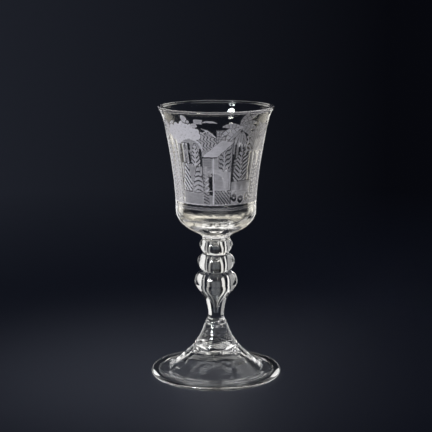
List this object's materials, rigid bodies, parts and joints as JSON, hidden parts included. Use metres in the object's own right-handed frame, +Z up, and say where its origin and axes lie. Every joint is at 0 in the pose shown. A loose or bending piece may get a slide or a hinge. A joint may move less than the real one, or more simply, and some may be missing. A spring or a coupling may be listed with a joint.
{
  "type": "engraved drinking glass",
  "caption": "Stemmed drinking glass with a flared, wheel-engraved bowl, a hollow knopped baluster stem and a folded conical foot.",
  "frame": {"origin": "on the glass's axis, in the plane that the foot rests on", "axes": "+Z up along the stem, towards the lip; the glass is round, so +X and +Y are alike, and -Y is the side that the picture shows"},
  "size_m": [0.0822, 0.0822, 0.17],
  "materials": {
    "engraved_glass": "clear soda glass with a matt, wheel-cut landscape on the outside of the bowl",
    "clear_glass": "clear, fire-polished soda glass with a faint straw tint and fine tooling lines",
    "broken_glass": "rough, broken glass of the pontil scar"
  },
  "bodies": {
    "root": {"bowl": "engraved_glass", "bowl_wafer": "clear_glass", "upper_knop": "clear_glass", "middle_knop": "clear_glass", "baluster": "clear_glass", "neck_wafer": "clear_glass", "stem_cone": "clear_glass", "foot": "clear_glass", "folded_rim": "clear_glass", "pontil_mark": "broken_glass"}
  },
  "joints": []
}
